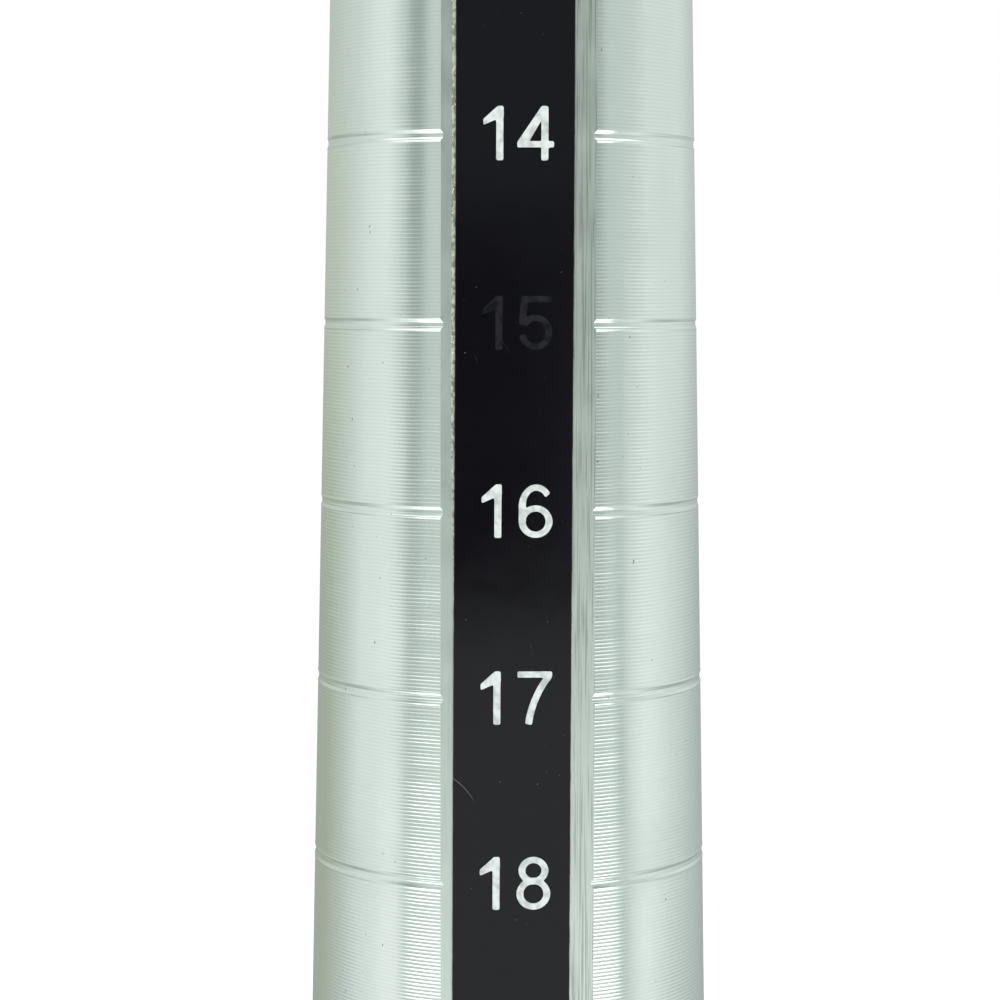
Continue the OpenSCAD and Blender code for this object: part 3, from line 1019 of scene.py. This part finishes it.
def studio_world():
    """Soft light all round, as a white booth gives it: uneven by direction, dark where the
    photographer stands, brighter from the pale table below. The backdrop is white."""
    world = bpy.data.worlds.new("studio")
    bpy.context.scene.world = world
    world.use_nodes = True
    tree = world.node_tree
    tree.nodes.clear()
    way = node(tree, "TexCoord").outputs["Generated"]
    x, y, z = node(tree, "SeparateXYZ", {0: way}).outputs
    azimuth = calc(tree, "ARCTAN2", x, calc(tree, "MULTIPLY", y, -1))
    turn = calc(tree, "MULTIPLY_ADD", azimuth, 0.5 / math.pi, 0.5)
    around = light_ramp(tree, turn, at_turns(ABOVE))
    for stops, start, full in TIERS:
        share = smooth_step(tree, z, start, full)
        around = blend_colours(tree, share, around, light_ramp(tree, turn, at_turns(stops)))
    olive = node(tree, "VectorMath", {0: around, 1: OLIVE_TINT}, operation="MULTIPLY").outputs[0]
    low = smooth_step(tree, z, OLIVE_START_Z, OLIVE_FULL_Z)
    wall = calc(tree, "MULTIPLY", near(tree, azimuth, OLIVE_AT, OLIVE_REACH, OLIVE_FULL), low)
    around = blend_colours(tree, wall, around, olive)
    level = smooth_step(tree, calc(tree, "ABSOLUTE", z), CAMERA_START_Z, CAMERA_FULL_Z)
    camera = calc(tree, "MULTIPLY", near(tree, azimuth, CAMERA_AT, CAMERA_REACH, CAMERA_FULL), level)
    around = blend_colours(tree, camera, around, (CAMERA_GREY / PEAK,) * 3)

    light = node(tree, "Background", {"Color": around, "Strength": PEAK}).outputs[0]
    white = node(tree, "Background", {"Color": (1, 1, 1, 1), "Strength": 1}).outputs[0]
    seen = node(tree, "LightPath").outputs["Is Camera Ray"]
    both = node(tree, "MixShader", {0: seen, 1: light, 2: white}).outputs[0]
    tree.links.new(both, node(tree, "OutputWorld").inputs["Surface"])


def near(tree, azimuth, middle, reach, full):
    """1 within full degrees of a direction and 0 past reach degrees of it."""
    off = calc(tree, "ABSOLUTE", calc(tree, "ADD", azimuth, math.radians(-middle)))
    return smooth_step(tree, off, math.radians(reach), math.radians(full))


def at_turns(stops):
    """Stops in degrees and brightness as stops from 0 to 1."""
    return [(degrees / 360 + 0.5, grey / PEAK) for degrees, grey in stops]


# Where the soft boxes aim
BAR_MIDDLE = (0, 0, 0.15)


def soft_light(name, where, side, power):
    """A square soft box aimed at the bar. It lights dull surfaces, while the metal mirrors only the
    surroundings."""
    lamp = bpy.data.lights.new(name, "AREA")
    lamp.shape = "RECTANGLE"
    lamp.size, lamp.size_y = side, side
    lamp.energy = power
    box = bpy.data.objects.new(name, lamp)
    box.location = where
    box.rotation_euler = (Vector(BAR_MIDDLE) - Vector(where)).to_track_quat("-Z", "Y").to_euler()
    box.visible_camera = False
    box.visible_glossy = False
    bpy.context.scene.collection.objects.link(box)


def build_floor():
    """A wide pale table that fades into the white backdrop."""
    reach, clear, faded = 60, 0.5, 1.0
    pale, glow_strength = (0.88, 0.88, 0.875, 1), 1.02
    mesh = bpy.data.meshes.new("floor")
    corners = [(-reach, -reach, 0), (reach, -reach, 0), (reach, reach, 0), (-reach, reach, 0)]
    mesh.from_pydata(corners, [], [(0, 1, 2, 3)])
    floor = bpy.data.objects.new("floor", mesh)
    bpy.context.scene.collection.objects.link(floor)
    floor.visible_glossy = False
    made = bpy.data.materials.new("pale_table")
    made.use_nodes = True
    tree = made.node_tree
    tree.nodes.clear()
    away = node(tree, "VectorMath", {0: place(tree)}, operation="LENGTH").outputs["Value"]
    share = smooth_step(tree, away, clear, faded)
    table = node(tree, "BsdfDiffuse", {"Color": pale}).outputs[0]
    glow = node(tree, "Emission", {"Color": (1, 1, 1, 1), "Strength": glow_strength}).outputs[0]
    both = node(tree, "MixShader", {0: share, 1: table, 2: glow}).outputs[0]
    tree.links.new(both, node(tree, "OutputMaterial").inputs["Surface"])
    mesh.materials.append(made)


def build_camera():
    """A close view of the scale's middle. The numbers are how far the camera stands from the bar's
    axis, at the height of which size, how far round from the scale's side, and how it is turned,
    tipped down and rolled, in degrees."""
    distance, stand_size = 128.65 * MM, 14.822
    side, heading, down, roll = (math.radians(a) for a in (2.573, 2.365, 4.432, 0.161))
    focal_length, sensor, nearest, farthest = 97.04, 36, 0.005, 200
    data = bpy.data.cameras.new("camera")
    data.lens = focal_length
    data.sensor_width = sensor
    data.clip_start, data.clip_end = nearest, farthest
    camera = bpy.data.objects.new("camera", data)
    camera.location = (-distance * math.sin(side), -distance * math.cos(side), size_z(stand_size))
    level = math.cos(down)
    aim = Vector((math.sin(heading) * level, math.cos(heading) * level, -math.sin(down)))
    look = aim.to_track_quat("-Z", "Y").to_matrix()
    camera.rotation_euler = (look @ Matrix.Rotation(roll, 3, "Z")).to_euler()
    bpy.context.scene.collection.objects.link(camera)
    bpy.context.scene.camera = camera


studio_world()
soft_light("front_left", (-0.9, -1.1, 1.1), 0.9, 10)
soft_light("front_right", (1.0, -1.0, 0.9), 0.9, 8.5)
soft_light("behind", (0.3, 1.3, 1.2), 1.0, 9)
build_floor()
build_camera()
bpy.context.scene.view_settings.view_transform = "Standard"
